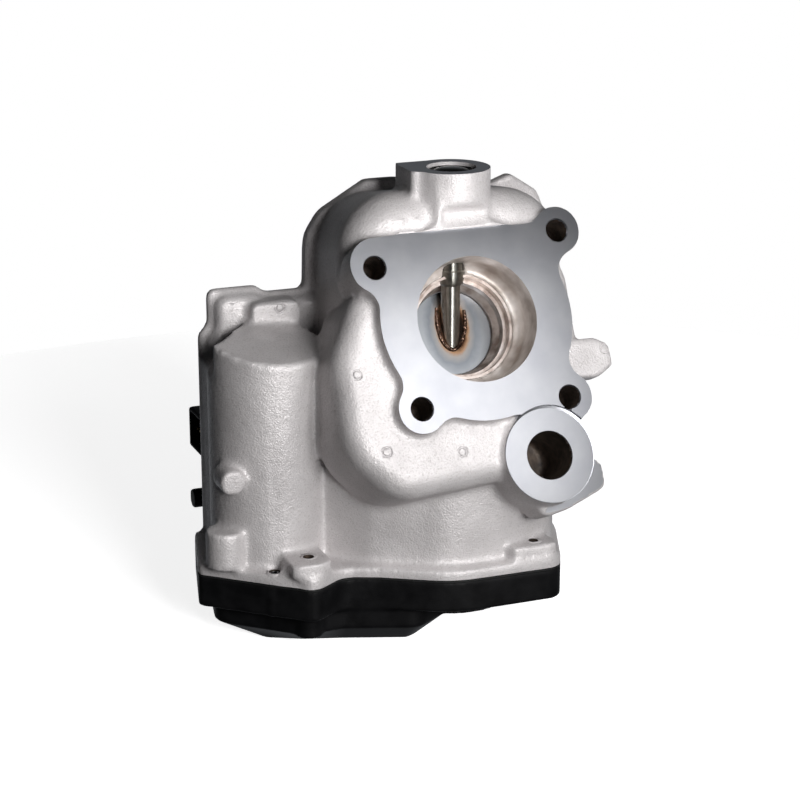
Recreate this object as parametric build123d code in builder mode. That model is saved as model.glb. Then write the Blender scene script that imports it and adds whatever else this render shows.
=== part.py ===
from build123d import *
from math import acos, atan2, cos, degrees, pi, radians, sin, tan
import os

os.makedirs("parts", exist_ok=True)

# Water-cooled exhaust gas recirculation valve with an inclined-shaft flap.
# Origin: centre of the gas inlet on the machined flange face. +Z runs up along the flap shaft.
# Lengths are millimetres. Values named h_ are heights above the flap centre, along the shaft.
# Plan positions are (x, distance behind the shaft axis). Flange positions are (across, up the face).

# Gas duct, liner and flap
tilt = 25.5                 # the duct rises this many degrees from level towards the flange
flap_depth = 26.5           # flange face to flap centre, along the duct
inlet_r = 21.75
inlet_depth = 14.4          # counterbore from the flange face to the liner
inlet_round = 3.2
fit_clear = 0.02            # radial clearance of parts that are pressed or bolted together
outlet_r = 16.6
outlet_mouth_r = 19.0
outlet_mouth_depth = 6.0
duct_end = 85.0
liner_wall_r = 18.4
liner_mouth_r = 17.5
liner_mouth_depth = 3.2
liner_step_r = 16.3
seat_r = 15.0
seat_length = 5.0
liner_length = 31.8
seat_front = 24.0           # flange face to the start of the seat
seat_taper = 3.0
flap_gap = 0.25
flap_thickness = 2.4
weld_width = 1.3
weld_height = 1.1
weld_reach = 9.0

# Shaft, its bearings and the closing plug
shaft_r = 3.35
run_clear = 0.04            # radial running clearance of a shaft in a bush
bush_r = 4.3
bush_nose_length = 3.4
bush_nose_wall = 0.5
bush_liner_gap = 0.15
seal_wall = 1.2
shaft_chamfer = 0.4
h_bush_nose = 17.6
h_bush_top = 46.0
h_lower_bush_top = -20.0
h_lower_bush_foot = -52.0
seal_r = 8.0
seal_height = 6.0
h_seal_foot = -64.0
bearing_r = 9.5
bearing_height = 6.0
bearing_ring = 1.9
bearing_groove = 0.6
plug_r = 8.6
plug_height = 4.5
plug_sheet = 1.0
plug_drop = 1.2
plug_dome = 1.0
h_shaft_top = 45.0

# Flange
flange_thickness = 10.0
flange_ring_r = 35.0
flange_top = 31.0
flange_band = 60.0
lobe_r = 8.4
corner_lobe_r = 9.4
corner_lobe_x = -33.0
lobe_depth = 18.0
corner_blend = 7.0
stud_hole_r = 4.0
stud_hole_depth = 15.0
stud_holes = [(-33.8, 20.7), (34.7, 27.9), (29.0, -30.1), (-25.1, -28.4)]
boss_land_width = 18.0      # milled land under the top boss
boss_land_middle = 1.0
boss_land_foot = 31.5
boss_land_height = 6.5
boss_land_proud = 0.8
cutter_reach = 30.0

# Coolant port and jacket
port_at = (18.9, -49.0)
port_r = 16.5
port_hole_r = 8.35
port_recess = 2.0
port_length = 30.0
coolant_bore_depth = 26.0
coolant_outlet_at = (16.0, -50.0)
coolant_outlet_r = 6.0
coolant_outlet_length = 57.0
spotface_clear = 0.6
jacket_step = 4.0
jacket_thickness = 32.0
jacket_round = 8.0
shoulder_depth = 11.5
shoulder_thickness = 30.0
shoulder_round = 3.5
wing_depth = 10.0
wing_thickness = 14.0

# Main casting
boss_r = 13.5
h_boss_top = 59.2
h_boss_foot = 30.0
boss_block = (-16.0, 13.0)  # left side and back of the block beside the boss
h_body_top = 55.0               # at the nose; the roof of the body falls towards the plate
h_body_top_right = 51.0
h_body_top_back = 46.0
body_draft = 2.0                # the sides close in by this much towards the plate
h_body_foot = -40.0
body_left = -41.5
body_right = 41.5
body_left_round = 20.0
body_right_round = 24.0
body_front = -9.0
body_nose_round = 11.0
plate_front = 32.0
plate_thickness = 4.0
rear_step = 0.8                 # the plate behind the motor tower stands back from the joint face
rear_step_x = -44.0
plate_left = -82.0
plate_left_top = -78.6           # the plate is narrower above the motor roof
panel_inset = 2.2
panel_depth = 4.5
panel_round = 3.0
h_motor_plate = 15.3         # top edge of the plate behind the motor tower
h_motor_plate_step = 12.6
h_ledge_top = -74.4
h_ledge_foot = -78.0
h_skirt_top = -22.0
wall_thickness = 2.9
lug_depth = 10.0
lug_thickness = 9.0
pad_height = 5.0
guide_at = (-84.0, -1.5)
guide_r = 7.0
h_guide_top = -60.9
stub_at = (-83.0, -42.0)
stub_r = 4.5
stub_length = 11.0
roof_pad_at = (-56.5, 5.5)
roof_pad_size = (18.0, 11.6)
roof_pad_proud = 9.5
rear_bolt_spacing = (64.0, 44.0)
rear_bolt_r = 4.0
rear_bolt_depth = 14.0

# Motor
motor_gap = 65.4            # shaft axis to motor axis
motor_direction = 171.6     # degrees, seen from above
motor_can_r = 17.0
motor_chamber_clear = 0.6
motor_can_wall = 1.2
motor_cap_spigot = 2.0
h_motor_roof = 6.0             # before the slope is cut
roof_slope = (0.079, -0.170)    # across and to the back, as a share of the height
roof_point = (-63.1, 28.0, 4.8)
h_motor_chamber_top = -11.5
h_motor_can_top = -16.0
h_motor_notch = -8.5
h_motor_can_foot = -82.0
motor_hub_r = 5.0
motor_hub_height = 3.0
motor_cap_height = 4.0
motor_shaft_r = 1.6
h_motor_shaft_top = -14.5
h_motor_shaft_foot = -96.0
h_pinion_foot = -95.5
magnet_wall = 3.0
magnet_opening = 12.0
magnet_length = 38.0
h_magnet_foot = -58.0
rotor_gap = 0.5
rotor_length = 34.0
h_rotor_foot = -56.0
rotor_slots = 7
rotor_slot_depth = 6.0
rotor_slot_width = 1.8
winding_r = 9.5
winding_height = 3.5
commutator_r = 5.0
h_commutator_foot = -69.0
brush_size = 4.0
brush_gap = 0.1
h_brush_foot = -67.0
damper_inner_r = 9.0
damper_outer_r = 15.0
motor_plate_thickness = 2.0
motor_plate_r = 19.0
motor_ear_radius = 21.5
motor_ear_r = 3.5
motor_ear_angles = (130.0, 330.0)
motor_screw_r = 1.5
motor_screw_length = 9.0
motor_screw_head_r = 2.8
motor_screw_head_height = 2.0

# Gear train: motor pinion, double idler wheel, toothed sector on the shaft
motor_module = 0.8
pinion_teeth = 12
idler_teeth = 61
sector_module = 1.0
idler_pinion_teeth = 13
sector_teeth = 60           # for a full turn
pressure_angle = 20.0
wheel_addendum = 0.75       # of the module, short so that the small pinions are not undercut
pinion_addendum = 1.0
dedendum = 1.35
flank_steps = 3
backlash = 0.12
sector_first_tooth = -16     # counted from the tooth that meets the idler when the flap is shut
sector_tooth_count = 19
h_sector_top = -79.0
sector_height = 5.0
sector_hub_r = 9.0
h_sector_hub_foot = -88.0
h_idler_wheel_top = -90.0
idler_wheel_height = 4.0
idler_web = 2.0
idler_rim_r = 21.5
idler_hub_r = 6.0
h_idler_top = -78.6
idler_pin_r = 2.0
h_idler_pin_top = -66.0
h_idler_pin_foot = -101.0
h_idler_foot = -96.6
h_idler_pin_boss = -97.0
pinion_height = 6.5
h_gear_roof = -71.5
spring_room_r = 17.0
magnet_r = 6.5
magnet_height = 3.0
spring_r = 13.5
spring_wire_r = 0.7
spring_turns = 3.0
spring_pitch = 1.8
h_spring_foot = -77.65

# Gear cover
cover_screws = [(-59.0, -16.0), (19.5, -30.0), (35.0, 28.0)]
tower_screw_at = (-61.0, -68.0)    # across and height; this screw runs forwards into the casting
tower_screw_seat = 44.0
tower_screw_bite = 6.0
dowel_at = (-70.3, -13.0)
gasket_thickness = 0.8
gasket_width = 3.0
cover_wall = 1.8
cover_floor = 2.2
h_rim_foot = -90.0
h_cup_foot = -96.5
cup_r = 23.0
h_bulge_knee = -97.0
h_bulge_foot = -104.0
screw_r = 2.0
screw_hole_r = 2.3
screw_head_r = 3.4
screw_head_height = 3.0
screw_well_r = 3.9
h_screw_seat = -84.0
h_screw_top = -74.6
cover_boss_r = 6.0
screw_column_r = 5.2
h_screw_column_foot = -98.0
dowel_r = 2.0
dowel_length = 8.0
dowel_boss_r = 3.7
h_dowel_foot = -82.8
tower_front = 38.0
tower_back = 58.0
tower_left = -74.0
tower_right = -48.0
tower_root = 34.0
tower_root_height = 10.0
h_tower_top = -28.0
h_socket = -42.5
socket_back = 48.0
socket_width = 19.0
socket_height = 12.0
socket_wall = 1.6
socket_reach = 5.0
socket_depth = 10.0
clip_post_r = 3.5
h_clip_post = -66.0
clip_post_back = 46.0
clip_post_length = 8.0
terminal_count = 5
terminal_size = 0.8
terminal_length = 8.0
terminal_pitch = 3.2
board_size = (18.0, 13.0)
board_thickness = 1.4
chip_size = 5.0
chip_height = 0.8

# Places that follow from the sizes above
flap_y = flap_depth * cos(radians(tilt))
flap_z = -flap_depth * sin(radians(tilt))
duct_out = Vector(0, -cos(radians(tilt)), sin(radians(tilt)))
duct_up = Vector(0, sin(radians(tilt)), cos(radians(tilt)))
flange = Plane(origin=(0, 0, 0), x_dir=(1, 0, 0), z_dir=duct_out)
duct_section = Plane(origin=(0, 0, 0), x_dir=duct_up, z_dir=(1, 0, 0))
duct_axis = Axis((0, 0, 0), duct_out)
motor_x = motor_gap * cos(radians(motor_direction))
motor_back = motor_gap * sin(radians(motor_direction))
pinion_pitch_r = motor_module * pinion_teeth / 2
idler_pitch_r = motor_module * idler_teeth / 2
idler_pinion_pitch_r = sector_module * idler_pinion_teeth / 2
sector_pitch_r = sector_module * sector_teeth / 2
idler_gap = sector_pitch_r + idler_pinion_pitch_r
motor_idler_gap = pinion_pitch_r + idler_pitch_r
apex_cosine = (motor_gap**2 + idler_gap**2 - motor_idler_gap**2) / (2 * motor_gap * idler_gap)
idler_direction = motor_direction - degrees(acos(apex_cosine))
idler_x = idler_gap * cos(radians(idler_direction))
idler_back = idler_gap * sin(radians(idler_direction))
motor_chamber_r = motor_can_r + motor_chamber_clear
tower_r = motor_chamber_r + wall_thickness
rear_face = plate_front + plate_thickness
plate_back = rear_face - rear_step
h_outlet = -rear_face * tan(radians(tilt))
h_pad = h_ledge_top + pad_height
h_cover_top = h_ledge_foot - gasket_thickness
h_cup_floor = h_cup_foot + cover_floor
h_bulge_floor = h_bulge_foot + cover_floor
h_idler_wheel_foot = h_idler_wheel_top - idler_wheel_height
motor_ear_offsets = [(motor_ear_radius * cos(radians(a)), motor_ear_radius * sin(radians(a)))
                     for a in motor_ear_angles]
motor_ears = [(motor_x + x, motor_back + back) for x, back in motor_ear_offsets]
motor_bore_r = motor_can_r - motor_can_wall
rotor_r = motor_bore_r - magnet_wall - rotor_gap
liner_bore_r = liner_wall_r + fit_clear
h_plug_foot = h_boss_top - plug_drop - plug_height
h_motor_screw_head = h_ledge_foot - motor_plate_thickness
h_motor_screw_top = h_motor_screw_head + motor_screw_length
socket_floor = tower_left - socket_reach + socket_depth
standing = (Align.CENTER, Align.CENTER, Align.MIN)

# Phases that bring the teeth into mesh with the flap shut
idler_pinion_phase = idler_direction + 180 - 180 / idler_pinion_teeth
motor_pinion_phase = degrees(atan2(idler_back - motor_back, idler_x - motor_x))
idler_wheel_phase = motor_pinion_phase + 180 - 180 / idler_teeth

# Plan of the bulge of the cover that holds the idler wheel
bulge_points = [(-80, rear_face), (-87, 4), (-61.5, -19.5), (-47, -17.9), (-22, -27), (-7, -17), (-7, rear_face)]
bulge_radii = [4, 8, 6, 5, 8, 8, 4]
bulge_foot_points = [(-70.5, 29), (-70.5, -1), (-58, -7), (-46, -11), (-24, -19), (-20, -17), (-20, 29)]
bulge_foot_radii = [5, 4, 6, 3, 2, 2, 5]


def level(height, x=0.0, back=0.0):
    """Level plane at a height above the flap centre, its origin on the shaft axis or beside it."""
    return Plane(origin=(x, flap_y + back, flap_z + height))


def upright(back, x=0.0):
    """Upright plane facing forwards: across, and height above the flap centre."""
    return Plane(origin=(x, flap_y + back, flap_z), x_dir=(1, 0, 0), z_dir=(0, -1, 0))


def outline(points, radii):
    """Closed outline of straight runs with rounded corners, drawn in the sketch that is open."""
    with BuildLine() as loop:
        FilletPolyline(*points, radius=radii, close=True)
    make_face(loop.edges())


def edges_in(part, plane):
    """Edges of a block whose middle lies in a plane."""
    return [e for e in part.edges() if abs(plane.to_local_coords(e.position_at(0.5)).Z) < 0.01]


def turned(radius, h_foot, h_top, x=0.0, back=0.0, mode=Mode.ADD):
    """Upright cylinder between two heights, on the shaft axis or beside it."""
    with Locations((x, flap_y + back, flap_z + h_foot)):
        Cylinder(radius, h_top - h_foot, align=standing, mode=mode)


def block(x_ends, back_ends, h_ends, mode=Mode.ADD):
    """Box between two ends in each direction."""
    with Locations((sum(x_ends) / 2, flap_y + sum(back_ends) / 2, flap_z + sum(h_ends) / 2)):
        Box(x_ends[1] - x_ends[0], back_ends[1] - back_ends[0], h_ends[1] - h_ends[0], mode=mode)


def tooth_row(module, teeth, addendum, phase, first, count):
    """Points along a row of involute teeth, anticlockwise. Tooth 0 is centred on the phase angle, in degrees."""
    pitch_r = module * teeth / 2
    base_r = pitch_r * cos(radians(pressure_angle))
    root_r = pitch_r - dedendum * module
    foot_r = max(base_r, root_r)
    flank_height = pitch_r + addendum * module - foot_r
    half_tooth = pi / (2 * teeth) - backlash / (2 * pitch_r)
    half_base = half_tooth + tan(radians(pressure_angle)) - radians(pressure_angle)
    flank = []
    for step in range(flank_steps + 1):
        r = foot_r + flank_height * step / flank_steps
        roll = acos(min(1.0, base_r / r))
        flank.append((r, half_base - tan(roll) + roll))
    if root_r < base_r:
        flank.insert(0, (root_r, half_base))
    tooth = [(r, -half) for r, half in flank] + [(r, half) for r, half in reversed(flank)]
    points = []
    for k in range(first, first + count):
        middle = radians(phase) + 2 * pi * k / teeth
        points += [(r * cos(middle + turn), r * sin(middle + turn)) for r, turn in tooth]
    return points


# Housing casting: the outlines of its walls, its ledge and its flange
with BuildSketch(flange) as flange_outline:
    Circle(flange_ring_r)
    with Locations(*stud_holes):
        Circle(lobe_r)
    with Locations((corner_lobe_x, flange_top - corner_lobe_r)):
        Circle(corner_lobe_r)
    with Locations((-3.0, flange_top / 2)):
        Rectangle(flange_band, flange_top)
    offset(amount=corner_blend)
    offset(amount=-corner_blend)

skirt_points = [(-50, 34), (-50, -4), (-37, -17), (-12, -31.5), (8, -31.5), (29, -24), (37.5, -8), (41, 34)]
skirt_radii = [0, 6, 12, 25, 20, 10, 20, 0]
ledge_points = [(-84.5, rear_face), (-93, 3), (-60, -26.8), (-47, -18), (-36, -22.5), (-13, -36), (27.5, -36.5),
                (38.8, -8), (43, rear_face)]
ledge_radii = [1.5, 3, 5, 8, 10, 30, 7, 25, 4]

# Rooms and walls of the casting that need large rounds are made first as blocks of their own
body_plane = upright(body_front)
with BuildPart() as body:
    with BuildSketch(body_plane):
        outline([(body_left, h_body_foot), (body_left, h_body_top), (body_right, h_body_top_right),
                 (body_right, h_body_foot)], [0, body_left_round, body_right_round, 0])
    with BuildSketch(upright(plate_front)):
        outline([(body_left + body_draft, h_body_foot), (body_left + body_draft, h_body_top_back),
                 (body_right, h_body_top_back), (body_right, h_body_foot)],
                [0, body_left_round, body_right_round, 0])
    loft()
    fillet([e for e in edges_in(body.part, body_plane) if e.position_at(0.5).Z > flap_z + h_body_foot + 1],
           body_nose_round)

# Coolant jacket that wraps the flange on its left and runs to the port
jacket_plane = flange.offset(-jacket_step)
with BuildPart() as jacket:
    with BuildSketch(jacket_plane):
        outline([(-28, 24), (-42, 11.5), (-52, -8), (-52, -40), (-36, -57.5), (2, -55), (20, -52), (33, -32),
                 (33, 22)], [10, 14, 18, 22, 16, 20, 12, 10, 8])
    extrude(amount=-jacket_thickness)
    fillet(edges_in(jacket.part, jacket_plane), jacket_round)

# Shoulder to the right of the duct, behind the flange
shoulder_plane = flange.offset(-shoulder_depth)
with BuildPart() as shoulder:
    with BuildSketch(shoulder_plane):
        outline([(5, -26), (body_right, -26), (body_right, 24), (5, 24)], [4, 12, 12, 4])
    extrude(amount=-shoulder_thickness)
    fillet(edges_in(shoulder.part, shoulder_plane), shoulder_round)

# Raised panel of the back plate behind the motor tower
panel_plane = upright(plate_front - panel_depth)
with BuildPart() as panel:
    with BuildSketch(panel_plane):
        outline([(plate_left + panel_inset, h_ledge_foot), (plate_left + panel_inset, -3),
                 (plate_left_top + panel_inset, 2), (plate_left_top + panel_inset, h_motor_plate - panel_inset),
                 (-61.5, h_motor_plate - panel_inset), (-57.5, h_motor_plate_step - panel_inset),
                 (-38, h_motor_plate_step - panel_inset), (-38, h_ledge_foot)], [0, 4, 4, 4, 3, 3, 0, 0])
    extrude(amount=-panel_depth)
    fillet([e for e in edges_in(panel.part, panel_plane)
            if e.position_at(0.5).Z > flap_z + h_ledge_foot + 1 and e.position_at(0.5).X < -38.5], panel_round)

# Housing casting
with BuildPart() as housing:
    # Walls round the gears, the motor tower, and the ledge that carries the cover
    with BuildSketch(level(h_ledge_foot)):
        outline(skirt_points, skirt_radii)
    extrude(amount=h_skirt_top - h_ledge_foot)
    with BuildSketch(level(h_ledge_foot, motor_x, motor_back)):
        Circle(tower_r)
        with Locations((0, (plate_front - motor_back) / 2)):
            Rectangle(2 * motor_can_r, plate_front - motor_back)
    extrude(amount=h_motor_roof - h_ledge_foot)
    roof_x, roof_back, roof_height = roof_point
    with BuildSketch(Plane(origin=(roof_x, flap_y + roof_back, flap_z + roof_height), z_dir=(*roof_slope, 1))):
        Rectangle(cutter_reach * 3, cutter_reach * 3)
    extrude(amount=cutter_reach, mode=Mode.SUBTRACT)
    with BuildSketch(level(h_ledge_foot)):
        outline(ledge_points, ledge_radii)
    extrude(amount=h_ledge_top - h_ledge_foot)

    with BuildSketch(level(h_motor_notch)):
        outline([(-61.6, plate_front), (-87.5, 3), (-100, 3), (-100, plate_front)], [0] * 4)
    extrude(amount=h_body_top, mode=Mode.SUBTRACT)

    # Rear plate: joint face for the pipe behind, and the back of the motor tower
    with BuildSketch(upright(plate_front)):
        outline([(plate_left, h_ledge_foot), (plate_left, -1), (plate_left_top, 3),
                 (plate_left_top, h_motor_plate), (-61, h_motor_plate), (-57, h_motor_plate_step),
                 (-42.5, h_motor_plate_step), (-42, 31), (-36.5, 39.5), (-19, 49.6), (-8, 49.6),
                 (28, 44.5), (37, 47.8), (47.5, 41), (52, 31), (52, -34), (43, -46), (43, h_ledge_foot)],
                [0, 2, 2, 3, 1.5, 1.5, 0.5, 12, 10, 4, 10, 8, 3, 5, 5, 8, 8, 0])
    extrude(amount=-plate_thickness)

    # Rounded blocks, the boss round the upper bush, the flange with its stud bosses, the port
    add(panel.part)
    add(body.part)
    add(jacket.part)
    add(shoulder.part)
    turned(boss_r, h_boss_foot, h_boss_top)
    block((boss_block[0], 0), (-4, boss_block[1]), (h_boss_foot, h_boss_top))
    with BuildSketch(flange):
        add(flange_outline.sketch_local)
    extrude(amount=-flange_thickness)
    with BuildSketch(flange):
        with Locations(*stud_holes):
            Circle(lobe_r)
    extrude(amount=-lobe_depth)
    with BuildSketch(flange.offset(-port_recess)):
        with Locations(port_at):
            Circle(port_r)
    extrude(amount=-port_length)
    with BuildSketch(flange.offset(-lug_depth)):
        outline([(28, -9), (47.4, -9.3), (51.8, -11.8), (52.8, -19.5), (46, -23.4), (38, -22.8), (28, -19)],
                [0, 2, 2, 3, 3, 2, 0])
    extrude(amount=-lug_thickness)
    with BuildSketch(flange.offset(-wing_depth)):
        outline([(20, -42), (38.5, -50.6), (42, -54), (42, -61), (39, -62.8), (26.6, -67.5), (17, -69.5),
                 (8, -55)], [0, 1, 1.5, 1.5, 1.5, 3, 4, 0])
    extrude(amount=-wing_thickness)

    # Pads, bosses and lugs of the casting
    with BuildSketch(level(h_ledge_top)):
        with Locations((-60.5, -14.5)):
            RectangleRounded(17, 19, 5)
        with Locations((18, -30.5)):
            RectangleRounded(18, 10, 3)
    extrude(amount=pad_height)
    turned(guide_r, h_ledge_top, h_guide_top, *guide_at)
    with BuildSketch(upright(2)):
        with Locations(stub_at):
            Circle(stub_r)
    extrude(amount=stub_length)
    with BuildSketch(upright(plate_front)):
        with Locations(roof_pad_at):
            RectangleRounded(*roof_pad_size, 3)
    extrude(amount=roof_pad_proud)

    # Milled flange face, the land under the top boss, and the port face
    with BuildSketch(flange):
        with Locations((0, boss_land_foot - cutter_reach * 2)):
            Rectangle(cutter_reach * 5, cutter_reach * 4)
    extrude(amount=cutter_reach, mode=Mode.SUBTRACT)
    with BuildSketch(flange.offset(boss_land_proud)):
        with Locations((boss_land_middle, boss_land_foot + boss_land_height / 2)):
            Rectangle(boss_land_width, boss_land_height)
    extrude(amount=cutter_reach, mode=Mode.SUBTRACT)
    with BuildSketch(flange.offset(-port_recess)):
        with Locations(port_at):
            Circle(port_r + spotface_clear)
    extrude(amount=cutter_reach, mode=Mode.SUBTRACT)

    # Gas duct with the rounded counterbore, the seat for the liner and the mouth at the back
    with BuildSketch(duct_section):
        outline([(0, 1), (inlet_r, 1), (inlet_r, -inlet_depth), (liner_bore_r, -inlet_depth),
                 (liner_bore_r, -inlet_depth - liner_length), (outlet_r, -inlet_depth - liner_length),
                 (outlet_r, -duct_end), (0, -duct_end)], [0, 0, inlet_round, 0, 0, 0, 0, 0])
    revolve(axis=duct_axis, mode=Mode.SUBTRACT)
    with BuildSketch(upright(rear_face)):
        with Locations((0, h_outlet)):
            Circle(outlet_mouth_r)
    extrude(amount=outlet_mouth_depth, mode=Mode.SUBTRACT)

    # Step behind the motor tower, which leaves the joint face clear of the connector tower
    block((-cutter_reach * 4, rear_step_x), (plate_back, rear_face + 1), (h_ledge_foot - 1, h_motor_plate + 1),
          Mode.SUBTRACT)

    # Bores along the shaft, from the plug at the top to the room of the return spring
    turned(plug_r + fit_clear, h_plug_foot, h_boss_top, mode=Mode.SUBTRACT)
    turned(plug_r - plug_sheet - 0.6, h_bush_top, h_plug_foot, mode=Mode.SUBTRACT)
    turned(bush_r + fit_clear, 0, h_bush_top, mode=Mode.SUBTRACT)
    turned(bush_r + fit_clear, h_seal_foot, 0, mode=Mode.SUBTRACT)
    turned(seal_r + fit_clear, h_gear_roof, h_seal_foot + seal_height, mode=Mode.SUBTRACT)
    turned(bearing_r + fit_clear, h_gear_roof, h_gear_roof + bearing_height, mode=Mode.SUBTRACT)
    turned(spring_room_r, h_ledge_foot, h_gear_roof, mode=Mode.SUBTRACT)

    # Stud holes, coolant passage from the port to the back, bolt holes at the back
    with BuildSketch(flange):
        with Locations(*stud_holes):
            Circle(stud_hole_r)
    extrude(amount=-stud_hole_depth, mode=Mode.SUBTRACT)
    with BuildSketch(flange):
        with Locations(port_at):
            Circle(port_hole_r)
    extrude(amount=-coolant_bore_depth, mode=Mode.SUBTRACT)
    with BuildSketch(upright(rear_face)):
        with Locations(coolant_outlet_at):
            Circle(coolant_outlet_r)
    extrude(amount=coolant_outlet_length, mode=Mode.SUBTRACT)
    with BuildSketch(upright(rear_face)):
        with Locations((0, h_outlet)):
            with GridLocations(*rear_bolt_spacing, 2, 2):
                Circle(rear_bolt_r)
    extrude(amount=rear_bolt_depth, mode=Mode.SUBTRACT)

    # Motor room, the hole of the idler pin, and the holes for the cover
    turned(motor_chamber_r, h_ledge_foot, h_motor_chamber_top, motor_x, motor_back, Mode.SUBTRACT)
    turned(idler_pin_r + fit_clear, h_ledge_foot, h_idler_pin_top, idler_x, idler_back, Mode.SUBTRACT)
    turned(dowel_r + fit_clear, h_ledge_foot, h_ledge_top, *dowel_at, Mode.SUBTRACT)
    for x, back in cover_screws:
        turned(screw_r + fit_clear, h_ledge_foot, h_pad, x, back, Mode.SUBTRACT)
    for x, back in motor_ears:
        turned(motor_screw_r + fit_clear, h_ledge_foot, h_motor_screw_top, x, back, Mode.SUBTRACT)
    with BuildSketch(upright(rear_face)):
        with Locations(tower_screw_at):
            Circle(screw_r + fit_clear)
    extrude(amount=tower_screw_bite, mode=Mode.SUBTRACT)
housing.part.label = "housing"
export_step(housing.part, "parts/housing.step")

# Steel liner with the flap seat
with BuildPart() as gas_liner:
    with BuildSketch(duct_section):
        outline([(liner_wall_r, -inlet_depth), (liner_mouth_r, -inlet_depth),
                 (liner_mouth_r, -inlet_depth - liner_mouth_depth), (liner_step_r, -inlet_depth - liner_mouth_depth),
                 (liner_step_r, seat_taper - seat_front), (seat_r, -seat_front),
                 (seat_r, -seat_front - seat_length), (liner_step_r, -seat_front - seat_length - seat_taper),
                 (liner_step_r, -inlet_depth - liner_length), (liner_wall_r, -inlet_depth - liner_length)],
                [0] * 10)
    revolve(axis=duct_axis)
    turned(bush_r + bush_liner_gap, -40, 40, mode=Mode.SUBTRACT)
gas_liner.part.label = "gas_liner"
export_step(gas_liner.part, "parts/gas_liner.step")

# Bushes, seal and bearing
with BuildPart() as upper_bush:
    turned(bush_r, h_bush_nose + bush_nose_length, h_bush_top)
    with Locations((0, flap_y, flap_z + h_bush_nose)):
        Cone(shaft_r + run_clear + bush_nose_wall, bush_r, bush_nose_length, align=standing)
    turned(shaft_r + run_clear, 0, h_bush_top, mode=Mode.SUBTRACT)
upper_bush.part.label = "upper_bush"
export_step(upper_bush.part, "parts/upper_bush.step")

with BuildPart() as lower_bush:
    turned(bush_r, h_lower_bush_foot, h_lower_bush_top)
    turned(shaft_r + run_clear, h_lower_bush_foot, h_lower_bush_top, mode=Mode.SUBTRACT)
lower_bush.part.label = "lower_bush"
export_step(lower_bush.part, "parts/lower_bush.step")

with BuildPart() as shaft_seal:
    turned(seal_r, h_seal_foot, h_seal_foot + seal_height)
    turned(shaft_r + run_clear, h_seal_foot, h_seal_foot + seal_height, mode=Mode.SUBTRACT)
    turned(seal_r - seal_wall, h_seal_foot, h_seal_foot + seal_height - seal_wall, mode=Mode.SUBTRACT)
    turned(shaft_r + run_clear + seal_wall, h_seal_foot + 1, h_seal_foot + seal_height)
    turned(shaft_r + run_clear, h_seal_foot, h_seal_foot + seal_height, mode=Mode.SUBTRACT)
shaft_seal.part.label = "shaft_seal"
export_step(shaft_seal.part, "parts/shaft_seal.step")

with BuildPart() as shaft_bearing:
    turned(bearing_r, h_gear_roof, h_gear_roof + bearing_height)
    with BuildSketch(level(h_gear_roof)):
        Circle(bearing_r - bearing_ring)
        Circle(shaft_r + bearing_ring, mode=Mode.SUBTRACT)
    extrude(amount=bearing_groove, mode=Mode.SUBTRACT)
    turned(shaft_r + run_clear, h_gear_roof, h_gear_roof + bearing_height, mode=Mode.SUBTRACT)
shaft_bearing.part.label = "shaft_bearing"
export_step(shaft_bearing.part, "parts/shaft_bearing.step")

# Domed cup plug that closes the top bore
with BuildPart() as top_plug:
    turned(plug_r, h_plug_foot, h_plug_foot + plug_height)
    with BuildSketch(level(h_plug_foot + plug_height)):
        Circle(plug_r - plug_dome)
    extrude(amount=plug_dome)
    turned(plug_r - plug_sheet, h_plug_foot, h_plug_foot + plug_height - plug_sheet, mode=Mode.SUBTRACT)
top_plug.part.label = "top_plug"
export_step(top_plug.part, "parts/top_plug.step")

# Flap: shaft, inclined disc and the weld between them
with BuildPart() as valve_shaft:
    turned(shaft_r, h_sector_hub_foot, h_shaft_top)
    chamfer(valve_shaft.edges().filter_by(GeomType.CIRCLE), shaft_chamfer)
valve_shaft.part.label = "valve_shaft"
export_step(valve_shaft.part, "parts/valve_shaft.step")

disc_middle = flange.offset(-flap_depth)
with BuildPart() as flap_disc:
    with BuildSketch(disc_middle.offset(-flap_thickness / 2)):
        Circle(seat_r)
    extrude(amount=flap_thickness)
    with Locations((0, flap_y, flap_z)):
        Sphere(seat_r - flap_gap, mode=Mode.INTERSECT)
    turned(shaft_r + fit_clear, -20, 20, mode=Mode.SUBTRACT)
flap_disc.part.label = "flap_disc"
export_step(flap_disc.part, "parts/flap_disc.step")

with BuildPart() as disc_weld:
    with BuildSketch(disc_middle.offset(flap_thickness / 2)):
        Circle(weld_reach)
    extrude(amount=weld_height)
    turned(shaft_r + weld_width, -20, 20, mode=Mode.INTERSECT)
    turned(shaft_r + fit_clear, -20, 20, mode=Mode.SUBTRACT)
disc_weld.part.label = "disc_weld"
export_step(disc_weld.part, "parts/disc_weld.step")

# Toothed sector on the foot of the shaft, with the sensor magnet under its hub
with BuildPart() as sector_gear:
    with BuildSketch(level(h_sector_top - sector_height)):
        with BuildLine():
            Polyline((0, 0), *tooth_row(sector_module, sector_teeth, wheel_addendum, idler_direction,
                                        sector_first_tooth, sector_tooth_count), close=True)
        make_face()
    extrude(amount=sector_height)
    turned(sector_hub_r, h_sector_hub_foot, h_sector_top)
    turned(shaft_r + fit_clear, h_sector_hub_foot, h_sector_top, mode=Mode.SUBTRACT)
sector_gear.part.label = "sector_gear"
export_step(sector_gear.part, "parts/sector_gear.step")

with BuildPart() as sensor_magnet:
    turned(magnet_r, h_sector_hub_foot - magnet_height, h_sector_hub_foot)
sensor_magnet.part.label = "sensor_magnet"
export_step(sensor_magnet.part, "parts/sensor_magnet.step")

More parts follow.
